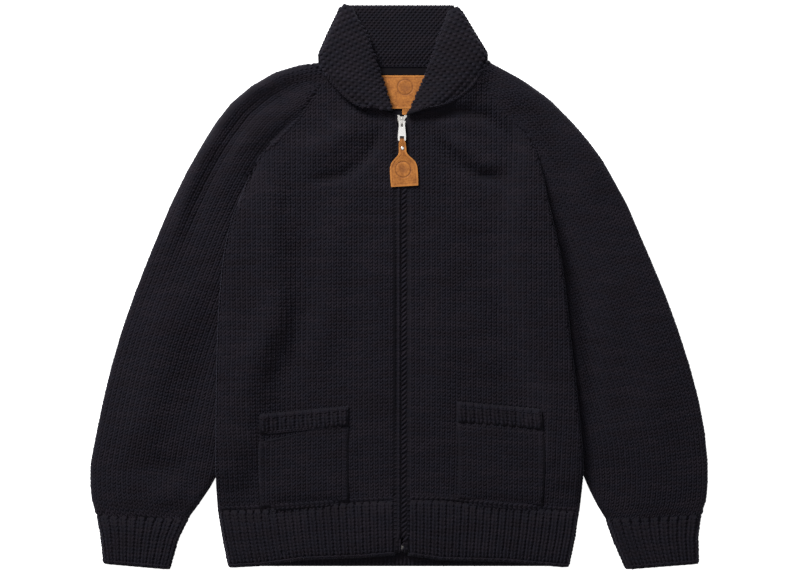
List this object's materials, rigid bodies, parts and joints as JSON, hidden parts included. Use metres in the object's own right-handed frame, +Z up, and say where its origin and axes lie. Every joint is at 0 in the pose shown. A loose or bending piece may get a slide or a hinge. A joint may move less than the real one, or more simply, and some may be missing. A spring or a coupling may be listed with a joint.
{
  "type": "cowichan cardigan",
  "caption": "Bulky hand-knitted zip cardigan laid flat on its back, with raglan sleeves, folded shawl collar, patch pockets, ribbed hem and cuffs, and a leather zip tag.",
  "frame": {"origin": "middle of the laid-out cardigan, at the surface that it lies on", "axes": "+Z up from the surface, +Y towards the collar, +X towards the wearer's left sleeve"},
  "size_m": [0.8515, 0.774, 0.0294],
  "materials": {
    "yarn": "bulky spun wool, matt, near black",
    "tan_leather": "smooth vegetable-tanned leather",
    "nickel": "bright nickel plate",
    "woven_tape": "black woven tape"
  },
  "bodies": {
    "garment": {"back": "yarn", "front_right": "yarn", "front_left": "yarn", "sleeve_right": "yarn", "sleeve_left": "yarn", "cuff_right": "yarn", "cuff_left": "yarn", "hem_back": "yarn", "hem_right": "yarn", "hem_left": "yarn", "band_right": "yarn", "band_left": "yarn", "collar_back": "yarn", "collar_right": "yarn", "collar_left": "yarn", "pocket_right": "yarn", "pocket_left": "yarn", "welt_right": "yarn", "welt_left": "yarn", "neck_patch": "tan_leather", "small_patch": "tan_leather", "zip_chain": "nickel", "zip_box": "nickel", "zip_slider": "nickel", "zip_tape_right": "woven_tape", "zip_tape_left": "woven_tape", "neck_tape": "woven_tape"},
    "pull": {"zip_pull": "nickel", "pull_tag": "tan_leather", "tag_rivet": "nickel"}
  },
  "joints": [
    {"name": "pull_hinge", "type": "hinge", "parent": "garment", "child": "pull", "pos_m": [0.004, 0.226, 0.0166], "axis": [-1, 0, 0], "range_deg": [0, 120]}
  ]
}
